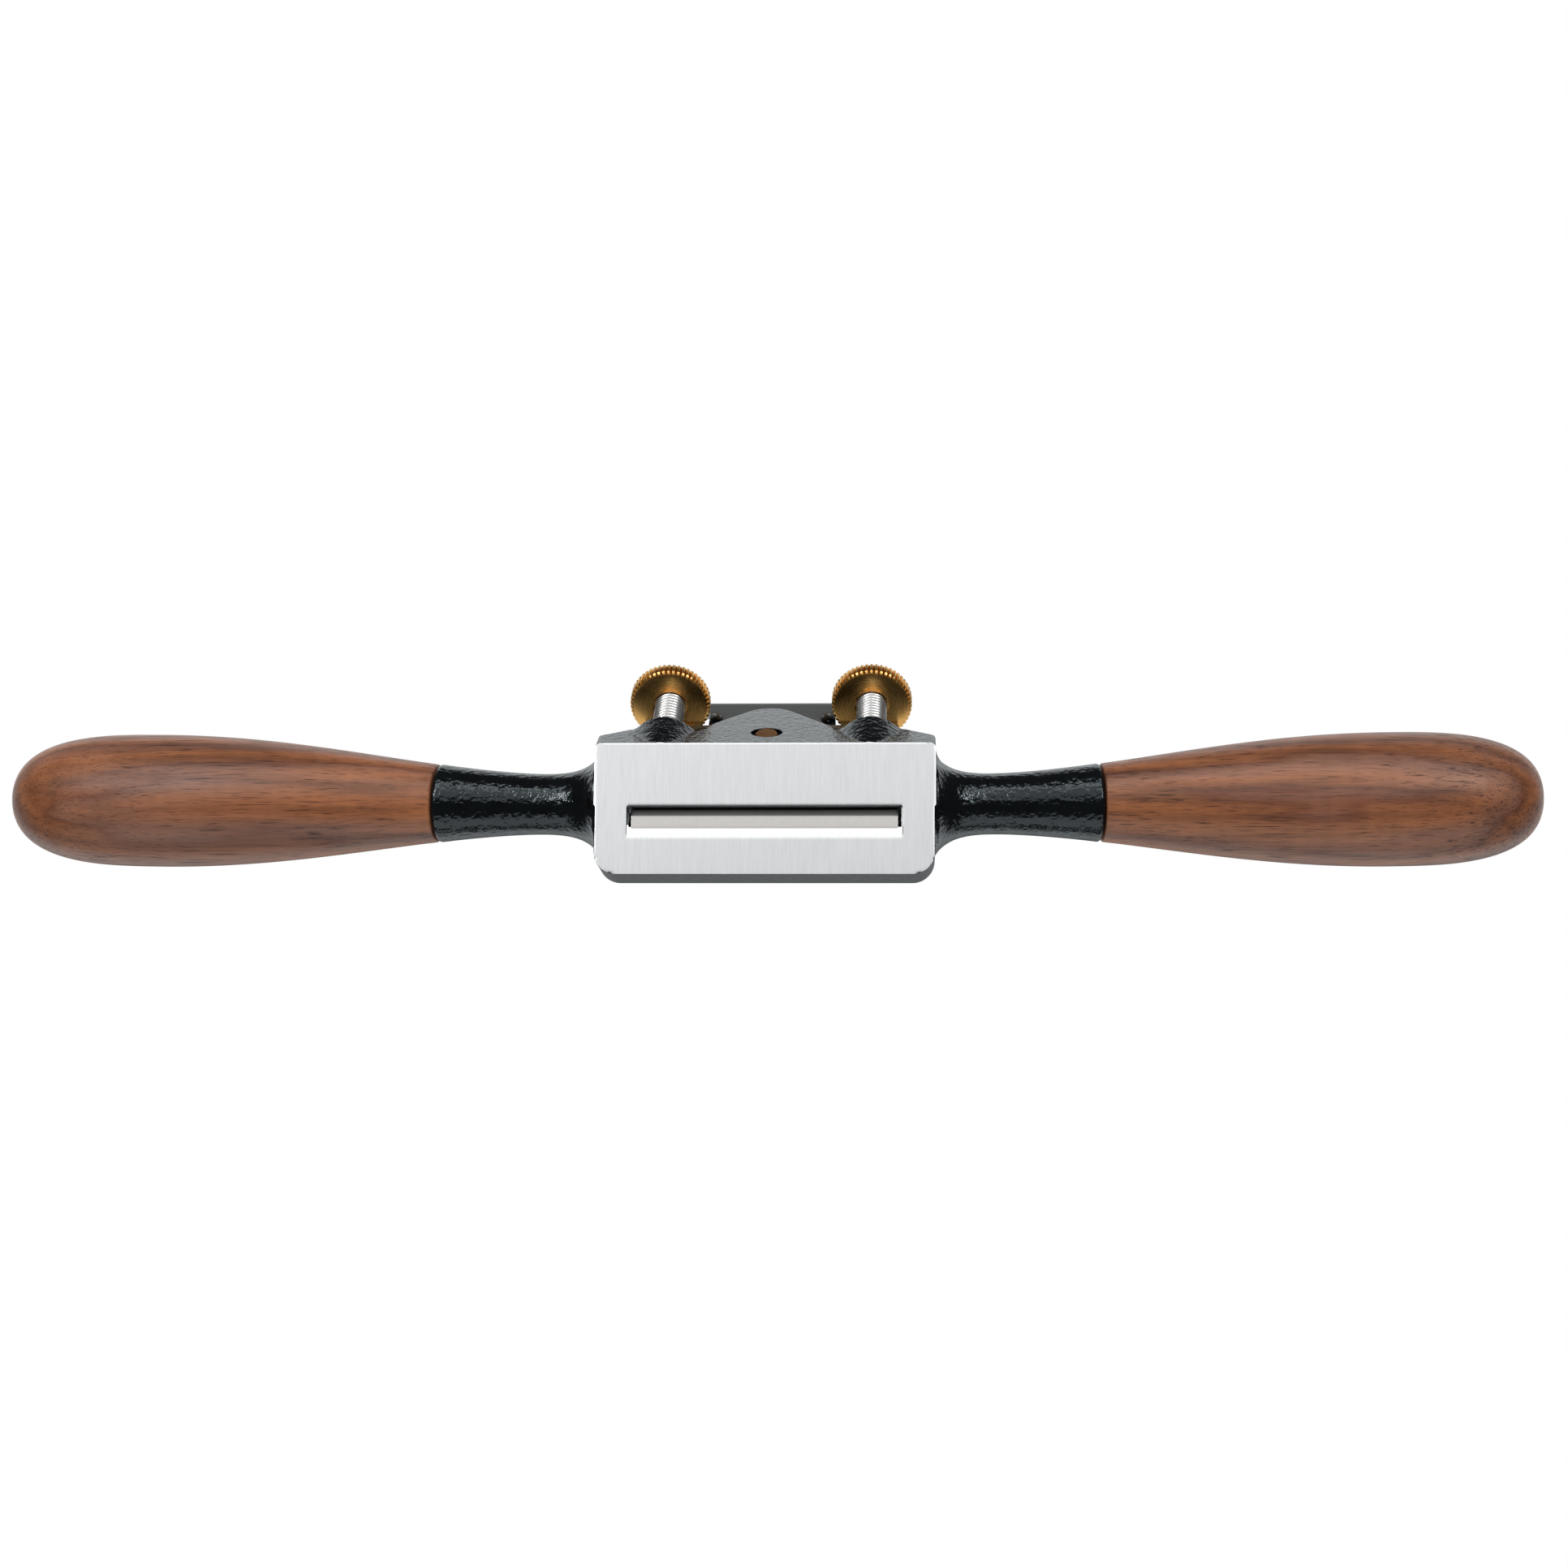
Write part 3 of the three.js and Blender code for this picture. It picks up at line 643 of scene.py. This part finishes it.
def walnut():
    """Oiled walnut with its grain along X."""
    n = Nodes("walnut")
    n.set(Specular_IOR_Level=0.45, Coat_Weight=0.22, Coat_Roughness=0.34)
    warp = n.noise(n.stretch((9, 70, 70)), 1.0, 3, 0.5)
    axes = n.tree.nodes.new("ShaderNodeSeparateXYZ")
    n.link(n.place, axes.inputs[0])
    along, across, up = axes.outputs
    depth = n.math("ADD", n.math("MULTIPLY", up, 190.0), n.math("MULTIPLY", across, 70.0))
    depth = n.math("ADD", depth, n.math("MULTIPLY", along, 5.0))
    rings = n.math("ADD", depth, n.math("MULTIPLY", warp, 3.4))
    figure = n.ramp(n.math("FRACT", rings), (
        (0.0, (0.289, 0.106, 0.046)),
        (0.3, (0.413, 0.151, 0.059)),
        (0.55, (0.385, 0.157, 0.081)),
        (0.8, (0.296, 0.132, 0.081)),
        (0.94, (0.227, 0.080, 0.039)),
        (1.0, (0.289, 0.106, 0.046)),
    ))
    streak = n.noise(n.stretch((18, 420, 420)), 1.0, 5, 0.6)
    dashes = n.noise(n.stretch((85, 2600, 2600)), 1.0, 3, 0.6)
    pores = n.noise(n.stretch((170, 4200, 4200)), 1.0, 2, 0.5)
    cloud = n.noise(n.stretch((24, 60, 60)), 1.0, 3, 0.5)
    curl = n.noise(n.stretch((330, 40, 40)), 1.0, 2, 0.5)
    many = n.math("MULTIPLY_ADD", cloud, 0.3)
    many.node.inputs[2].default_value = -0.15
    shades = (
        n.ramp(streak, ((0.3, (0.62, 0.60, 0.60)), (0.58, (1.08, 1.06, 1.04)))),
        n.ramp(n.math("ADD", dashes, many), ((0.33, (0.30, 0.25, 0.25)), (0.42, 1))),
        n.ramp(pores, ((0.32, (0.55, 0.5, 0.5)), (0.44, 1))),
        n.ramp(cloud, ((0.3, 0.80), (0.7, 1.14))),
        n.ramp(curl, ((0.3, 0.93), (0.7, 1.05))),
    )
    tone = figure
    for shade in shades:
        tone = n.multiply(tone, shade)
    n.link(tone, n.shader.inputs["Base Color"])
    n.link(n.ramp(dashes, ((0.34, 0.6), (0.5, 0.42))), n.shader.inputs["Roughness"])
    n.bump(((dashes, 0.35, 0.04), (pores, 0.25, 0.02)))
    return n.material


PAINT = cast_paint()
SOLE_STEEL = brushed_steel("sole_steel", (0.78, 0.79, 0.80), 0.36, "y")
BLADE_STEEL = brushed_steel("blade_steel", (0.42, 0.42, 0.41), 0.34, "x")
BEVEL_STEEL = brushed_steel("bevel_steel", (0.50, 0.485, 0.465), 0.3, "z")
STUD_STEEL = turned_metal("stud_steel", (0.95, 0.95, 0.94), (0.88, 0.88, 0.87), 0.34, 0.3)
BRASS = turned_metal("brass", (0.90, 0.52, 0.17), (0.80, 0.44, 0.13), 0.27)
COPPERY = turned_metal("screw_brass", (0.62, 0.30, 0.12), (0.48, 0.22, 0.08), 0.36)
WALNUT = walnut()


# ---------------------------------------------------------------- pieces

def finish_piece(made, body, node, slot_name, *finishes):
    for finish in finishes:
        made.data.materials.append(finish)
    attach(made, body)
    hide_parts(node)
    return made


def body_casting():
    step = 0.35
    low = (-67, TOE_Y - 1, -1)
    high = (67, 24, 24)
    verts, quads = contour(body_field, low, high, step)
    made = new_object("body_shell", verts, quads, sharp=32)
    finish_piece(made, "root", "body_casting", "body_paint", PAINT, SOLE_STEEL)
    for face in made.data.polygons:
        c = face.center / MM
        n = face.normal
        in_mouth = abs(c.x) < MOUTH_HALF - 0.1
        ground = n.z < -0.9 and c.z < 0.1
        near_mouth = MOUTH_FRONT - 0.2 < c.y < MOUTH_REAR + 0.2
        mouth_wall = abs(n.y) > 0.9 and c.z < 2.1 and in_mouth and near_mouth
        bed_face = n.y < -0.6 and n.z > 0.6 and in_mouth and c.y > MOUTH_REAR - 0.4
        if ground or mouth_wall or bed_face:
            face.material_index = 1


def thread_radius(radius, pitch, depth):
    """A ring's radius for a right-hand thread, fading out near the chamfered ends."""
    def at(ring, height, angle):
        if abs(ring - radius) > 0.01:
            return ring
        phase = (height / pitch - angle / (2 * math.pi)) % 1
        groove = abs(2 * phase - 1)
        return ring - depth * min(1.0, max(0.0, 1.25 * groove - 0.12))
    return at


def threaded_rings(radius, low, high, chamfer, pitch, per_turn=8):
    rings = [(0, low), (radius - chamfer, low), (radius - 0.005, low + chamfer)]
    count = int((high - low - 2 * chamfer) / pitch * per_turn)
    for i in range(count + 1):
        rings.append((radius, low + chamfer + (high - low - 2 * chamfer) * i / count))
    rings += [(radius - chamfer, high), (0, high)]
    return rings


def studs():
    for name, side in SIDES.items():
        rings = threaded_rings(STUD_RADIUS, STUD_LOW, STUD_HIGH - 0.3, 0.7, 1.0)
        thread = thread_radius(STUD_RADIUS, 1.0, 0.55)
        made = revolved(f"thread_{name}", rings, 40, stud_matrix(side), thread, 60)
        finish_piece(made, "root", f"adjusting_stud_{name}", "stud_steel", STUD_STEEL)


def knurl(radius, teeth, depth, rim):
    """A ring's radius with grooves cut in it, for the rings that reach past the rim."""
    def at(ring, height, angle):
        if ring < rim:
            return ring
        phase = (angle * teeth / (2 * math.pi)) % 1
        groove = abs(2 * phase - 1)
        reach = radius - depth * max(0.0, groove * 1.9 - 0.9)
        return min(ring, reach)
    return at


def nuts():
    half = NUT_THICKNESS / 2
    r = NUT_RADIUS
    mouth = 0.35
    edge = [
        (NUT_BORE, half - mouth),
        (NUT_BORE + mouth, half),
        (r - 0.68, half),
        (r - 0.6, half - 0.03),
        (r - 0.05, half - 0.52),
        (r, half - 0.6),
    ]
    rings = [(radius, -height) for radius, height in edge] + edge[::-1]
    for name, side in SIDES.items():
        place = stud_matrix(side) @ Matrix.Translation((0, 0, NUT_AT))
        shape = knurl(r, NUT_TEETH, 0.75, r - 0.3)
        made = revolved(f"knurled_nut_{name}", rings, NUT_TEETH * 8, place, shape, 30)
        finish_piece(made, f"nut_{name}", f"adjusting_nut_{name}", "brass", BRASS)


def handle_radius(share):
    if share < HANDLE_FULLEST:
        rise = math.sin(math.pi / 2 * share / HANDLE_FULLEST) ** 1.1
        return HANDLE_FRONT + (HANDLE_FULL - HANDLE_FRONT) * rise
    left = min(1.0, (share - HANDLE_FULLEST) / (1 - HANDLE_FULLEST))
    return HANDLE_FULL * (1 - left ** 3) ** (1 / 2.6)


def handles():
    front = ARM_LENGTH + FACE_GAP
    rings = [
        (0, front),
        (HANDLE_FRONT - 0.3, front),
        (HANDLE_FRONT - 0.09, front + 0.09),
        (HANDLE_FRONT, front + 0.3),
    ]
    for i in range(1, 60):
        share = i / 60 * HANDLE_FULLEST
        rings.append((handle_radius(share), front + share * HANDLE_LENGTH))
    for i in range(48):
        share = HANDLE_FULLEST + (1 - HANDLE_FULLEST) * math.sin(math.pi / 2 * i / 48)
        rings.append((handle_radius(share), front + share * HANDLE_LENGTH))
    rings.append((0, front + HANDLE_LENGTH))
    for name, side in SIDES.items():
        made = revolved(f"turned_handle_{name}", rings, 128, arm_matrix(side), sharp=50, local=False)
        finish_piece(made, "root", f"handle_{name}", "handle_wood", WALNUT)


def bed_piece(name, field, low, high, step, sharp):
    """A piece contoured in the bed frame, with field(x, s, w)."""
    verts, quads = contour(field, low, high, step)
    return new_object(name, verts, quads, BED_MATRIX, sharp)


def slot_field(u, v, low, high, radius):
    """A straight slot with round ends at v = low and v = high."""
    return np.hypot(u, v - np.clip(v, low, high)) - radius


def blade_field(x, s, w):
    x = np.abs(x)
    flat = np.maximum(x - BLADE_HALF, s - BLADE_LENGTH)
    plate = np.maximum(flat, np.maximum(-w, w - BLADE_THICKNESS))
    bevel = math.cos(BEVEL) * (BLADE_THICKNESS - w) - math.sin(BEVEL) * s
    plate = np.maximum(plate, bevel)
    notch_low = STUD_X - NUT_RADIUS - SIDE_SLOT_END_GAP
    radius = (NUT_THICKNESS + SIDE_SLOT_PLAY) / 2
    notch = slot_field(s - NUT_AT, x, notch_low + radius, 40, radius)
    plate = np.maximum(plate, -notch)
    low = CAP_SCREW_AT - SCREW_SLOT_REACH
    high = CAP_SCREW_AT + SCREW_SLOT_REACH
    slot = slot_field(x, s, low, high, SCREW_SLOT_RADIUS)
    return np.maximum(plate, -slot)


def blade():
    made = bed_piece("honed_blade", blade_field, (-27, -1, -1), (27, 45, 3), 0.3, 20)
    finish_piece(made, "blade", "blade", "blade_steel", BLADE_STEEL, BEVEL_STEEL)
    bevel_end = BLADE_THICKNESS / math.tan(BEVEL) + 0.3
    for face in made.data.polygons:
        c = BED_INVERSE @ (face.center / MM)
        n = BED_TURN @ face.normal
        if n.y < -0.3 and n.z < -0.3 and c.y < bevel_end:
            face.material_index = 1


def cap_field(x, s, w):
    x = np.abs(x)
    outline = polygon(x, s, CAP_OUTLINE)
    outline = np.where(x < 4, np.maximum(CAP_SETBACK - s, s - CAP_END), outline)
    # the outer face, low at the nose, then rising in two slopes
    run = s - CAP_SETBACK
    nose_top = CAP_UNDER + CAP_NOSE_THICKNESS
    slopes = (0, CAP_NOSE_SLOPE / 3, CAP_NOSE_SLOPE)
    rise = nose_top + np.interp(run, slopes, (0, CAP_NOSE_RISE, CAP_TOP - nose_top))
    top = (w - rise) * 0.86
    cap = smooth_max(outline, top, 1.4)
    cap = np.where(run < 0.8, np.maximum(outline, top), cap)
    cap = np.maximum(cap, CAP_SETBACK + 0.05 - s)
    # the flat under face, hollowed between the nose and the thumbscrew
    cap = np.maximum(cap, CAP_UNDER - w)
    hollow_half = 12.4
    hollow = np.abs(s - CAP_SCREW_AT) - hollow_half
    cap = np.maximum(cap, -smooth_max(hollow, w - CAP_UNDER - CAP_RELIEF, 0.6))
    # the keyhole and the thumbscrew's thread
    entry = np.hypot(x, s - CAP_SCREW_AT + KEYHOLE_TRAVEL) - KEYHOLE_WIDE
    stem = slot_field(x, s, CAP_SCREW_AT - KEYHOLE_TRAVEL, CAP_SCREW_AT, KEYHOLE_SLIM)
    cap = smooth_max(cap, -np.minimum(entry, stem), 0.5)
    return np.maximum(cap, STUD_RADIUS + 0.1 - np.hypot(x, s - THUMBSCREW_AT))


def lever_cap():
    made = bed_piece("cast_cap", cap_field, (-28, 0.5, 0.5), (28, 47, 8), 0.35, 40)
    finish_piece(made, "lever_cap", "lever_cap", "cap_paint", PAINT, SOLE_STEEL)
    for face in made.data.polygons:
        c = BED_INVERSE @ (face.center / MM)
        n = BED_TURN @ face.normal
        nose_face = n.y < -0.9 and c.y < CAP_SETBACK + 0.4
        under = n.z < -0.9 and c.z < CAP_UNDER + 0.1
        if nose_face or under:
            face.material_index = 1


def cap_screw():
    """The fixed screw with its domed, slotted head."""
    seat = CAP_TOP + FACE_GAP
    top = seat + CAP_SCREW_HEAD_HEIGHT
    tip = CAP_SCREW_BACK + 0.3
    r = CAP_SCREW_HEAD
    dome = 0.9
    pitch = 0.9
    shank = threaded_rings(CAP_SCREW_RADIUS, tip, seat - 0.01, 0.5, pitch)[:-1]
    head = [
        (r - 0.6, seat),
        (r - 0.25, seat + 0.08),
        (r - 0.08, seat + 0.2),
        (r, seat + 0.4),
        (r, top - dome),
    ]
    steps = 8
    for i in range(1, steps):
        angle = math.pi / 2 * i / steps
        head.append((r * math.cos(angle), top - dome + dome * math.sin(angle)))
    head.append((0, top))
    place = screw_matrix(CAP_SCREW_AT)
    thread = thread_radius(CAP_SCREW_RADIUS, pitch, 0.45)
    made = revolved("slotted_screw", shank + head, 64, place, thread, 40)
    turn = Matrix.Rotation(math.pi / 5, 4, "Z")
    verts, faces = box_mesh((-r - 1, r + 1), (-0.6, 0.6), (top - 1.1, top + 2))
    cut_with(made, new_object("slot_cutter", verts, faces, place @ turn, local=True))
    finish_piece(made, "cap_screw", "lever_cap_screw", "brass", COPPERY)


def box_mesh(xs, ys, zs):
    verts = [(x, y, z) for x in xs for y in ys for z in zs]
    faces = [(0, 1, 3, 2), (4, 6, 7, 5), (0, 4, 5, 1), (2, 3, 7, 6), (0, 2, 6, 4), (1, 5, 7, 3)]
    return verts, faces


def cut_with(made, cutter):
    """Takes the cutter's shape out of a piece."""
    cut = made.modifiers.new("cut", "BOOLEAN")
    cut.operation = "DIFFERENCE"
    cut.solver = "EXACT"
    cut.object = cutter
    graph = bpy.context.evaluated_depsgraph_get()
    mesh = bpy.data.meshes.new_from_object(made.evaluated_get(graph))
    made.modifiers.clear()
    made.data = mesh
    bpy.data.objects.remove(cutter)
    mesh.set_sharp_from_angle(angle=math.radians(40))


def thumbscrew():
    """The cap's knurled screw, with a collar under its head and a shallow dish in its top."""
    seat = CAP_TOP + FACE_GAP
    low = seat + THUMBSCREW_COLLAR_HEIGHT
    high = low + THUMBSCREW_HEAD_HEIGHT
    collar = THUMBSCREW_COLLAR
    r = THUMBSCREW_HEAD
    dish = 0.8
    pitch = 1.0
    rings = threaded_rings(STUD_RADIUS, CAP_UNDER, seat - 0.01, 0.6, pitch)[:-1]
    rings += [
        (collar - 0.4, seat),
        (collar - 0.12, seat + 0.12),
        (collar, seat + 0.4),
        (collar, low),
    ]
    edge = [(r - 0.9, 0), (r - 0.4, 0.16), (r - 0.02, 0.72), (r, 0.8)]
    rings += [(radius, low + inward) for radius, inward in edge]
    rings += [(radius, high - inward) for radius, inward in edge[::-1]]
    rings += [
        (collar + 0.1, high),
        (collar - 0.1, high - 0.1),
        (collar - 0.6, high - 0.72),
        (collar - 0.8, high - dish),
        (0, high - dish),
    ]
    thread = thread_radius(STUD_RADIUS, pitch, 0.5)
    grip = knurl(r, THUMBSCREW_TEETH, 0.38, r - 0.1)

    def shape(ring, height, angle):
        cut = grip if ring > collar else thread
        return cut(ring, height, angle)

    place = screw_matrix(THUMBSCREW_AT)
    made = revolved("knurled_thumbscrew", rings, THUMBSCREW_TEETH * 8, place, shape, 40)
    finish_piece(made, "thumbscrew", "lever_cap_thumbscrew", "brass", BRASS)


def dress(node, finish):
    """A hidden CAD node keeps its mesh and takes a finish."""
    made = nodes[node]
    if not made.material_slots:
        made.data.materials.append(finish)
    for slot in made.material_slots:
        slot.material = finish


def camera():
    """The photograph's place: below the sole, a little towards the toe."""
    data = bpy.data.cameras.new("camera")
    data.sensor_width = 36
    data.lens = 66.3
    made = bpy.data.objects.new("camera", data)
    bpy.context.scene.collection.objects.link(made)
    at = Vector((-28.1, -113.4, -538.7)) * MM
    aim = Vector((-3.5, 2.7, 5.0)) * MM
    roll = math.radians(0.46)
    ahead = (aim - at).normalized()
    right = ahead.cross(Vector((0, 1, 0))).normalized()
    up = right.cross(ahead)
    turned_right = right * math.cos(roll) + up * math.sin(roll)
    turned_up = up * math.cos(roll) - right * math.sin(roll)
    basis = Matrix((turned_right, turned_up, -ahead)).transposed().to_4x4()
    made.matrix_world = Matrix.Translation(at) @ basis
    data.clip_start = 0.01
    data.clip_end = 20
    bpy.context.scene.camera = made


# ---------------------------------------------------------------- studio

def below(up, across):
    """A direction from the tool: degrees towards the heel from straight below, and towards +X."""
    a, b = math.radians(up), math.radians(across)
    return Vector((math.sin(b), math.sin(a) * math.cos(b), -math.cos(a) * math.cos(b)))


def panel(name, up, across, distance, width, height, radiance):
    """A soft panel of a size in metres, facing the tool from below, that looks `radiance` bright."""
    data = bpy.data.lights.new(name, "AREA")
    data.shape = "RECTANGLE"
    data.size = width
    data.size_y = height
    data.energy = math.pi * width * height * radiance
    made = bpy.data.objects.new(name, data)
    bpy.context.scene.collection.objects.link(made)
    direction = below(up, across).normalized()
    made.location = direction * distance
    made.rotation_euler = direction.to_track_quat("Z", "Y").to_euler()


def lights():
    panel("sole_panel", 21, 0, 1.3, 2.4, 0.85, 0.99)
    panel("heel_strip", 47, 0, 1.2, 1.6, 0.26, 3.2)
    panel("lamp_left", 21, 32, 1.2, 0.4, 0.15, 12)
    panel("lamp_right", 21, -35, 1.2, 0.4, 0.15, 12)
    panel("toe_panel", -79, 0, 1.5, 2.6, 1.1, 1.05)


def world():
    """White behind the tool. What it reflects is dark below and bright above, by height."""
    made = bpy.data.worlds.new("studio")
    made.use_nodes = True
    tree = made.node_tree
    tree.nodes.clear()
    out = tree.nodes.new("ShaderNodeOutputWorld")
    seen = tree.nodes.new("ShaderNodeBackground")
    seen.inputs[0].default_value = (1, 1, 1, 1)
    coord = tree.nodes.new("ShaderNodeTexCoord")
    split = tree.nodes.new("ShaderNodeSeparateXYZ")
    tree.links.new(coord.outputs["Generated"], split.inputs[0])
    ramp = tree.nodes.new("ShaderNodeValToRGB")
    stops = ((0.0, 0.05), (0.36, 0.06), (0.66, 0.06), (0.77, 1.1), (0.9, 1.1), (0.98, 0.27))
    while len(ramp.color_ramp.elements) < len(stops):
        ramp.color_ramp.elements.new(0.5)
    for element, (at, value) in zip(ramp.color_ramp.elements, stops):
        element.position = at
        element.color = (value * 0.94, value * 0.985, value, 1)
    height = tree.nodes.new("ShaderNodeMath")
    height.operation = "MULTIPLY_ADD"
    height.inputs[1].default_value = 0.5
    height.inputs[2].default_value = 0.5
    tree.links.new(split.outputs[2], height.inputs[0])
    tree.links.new(height.outputs[0], ramp.inputs[0])
    lit = tree.nodes.new("ShaderNodeBackground")
    tree.links.new(ramp.outputs[0], lit.inputs[0])
    path = tree.nodes.new("ShaderNodeLightPath")
    mix = tree.nodes.new("ShaderNodeMixShader")
    tree.links.new(path.outputs["Is Camera Ray"], mix.inputs[0])
    tree.links.new(lit.outputs[0], mix.inputs[1])
    tree.links.new(seen.outputs[0], mix.inputs[2])
    tree.links.new(mix.outputs[0], out.inputs[0])
    bpy.context.scene.world = made


def floor():
    """A pale floor under the sole, solid from above and clear from below, where the camera stands."""
    reach = 3.0
    mesh = bpy.data.meshes.new("floor")
    corners = [(-reach, -reach, 0), (reach, -reach, 0), (reach, reach, 0), (-reach, reach, 0)]
    mesh.from_pydata(corners, [], [(0, 1, 2, 3)])
    made = bpy.data.objects.new("floor", mesh)
    made.location.z = -0.0002
    bpy.context.scene.collection.objects.link(made)
    finish = bpy.data.materials.new("floor_paper")
    finish.use_nodes = True
    tree = finish.node_tree
    shader = tree.nodes["Principled BSDF"]
    shader.inputs["Base Color"].default_value = (0.86, 0.86, 0.86, 1)
    shader.inputs["Roughness"].default_value = 0.8
    clear = tree.nodes.new("ShaderNodeBsdfTransparent")
    side = tree.nodes.new("ShaderNodeNewGeometry")
    mix = tree.nodes.new("ShaderNodeMixShader")
    tree.links.new(side.outputs["Backfacing"], mix.inputs[0])
    tree.links.new(shader.outputs[0], mix.inputs[1])
    tree.links.new(clear.outputs[0], mix.inputs[2])
    tree.links.new(mix.outputs[0], tree.nodes["Material Output"].inputs[0])
    mesh.materials.append(finish)
    made.visible_shadow = False
    made.visible_diffuse = False
    made.visible_glossy = False


camera()
world()
lights()
floor()
bpy.context.scene.view_settings.view_transform = "Standard"
body_casting()
studs()
nuts()
handles()
blade()
lever_cap()
cap_screw()
thumbscrew()
dress("handle_stud_left", STUD_STEEL)
dress("handle_stud_right", STUD_STEEL)
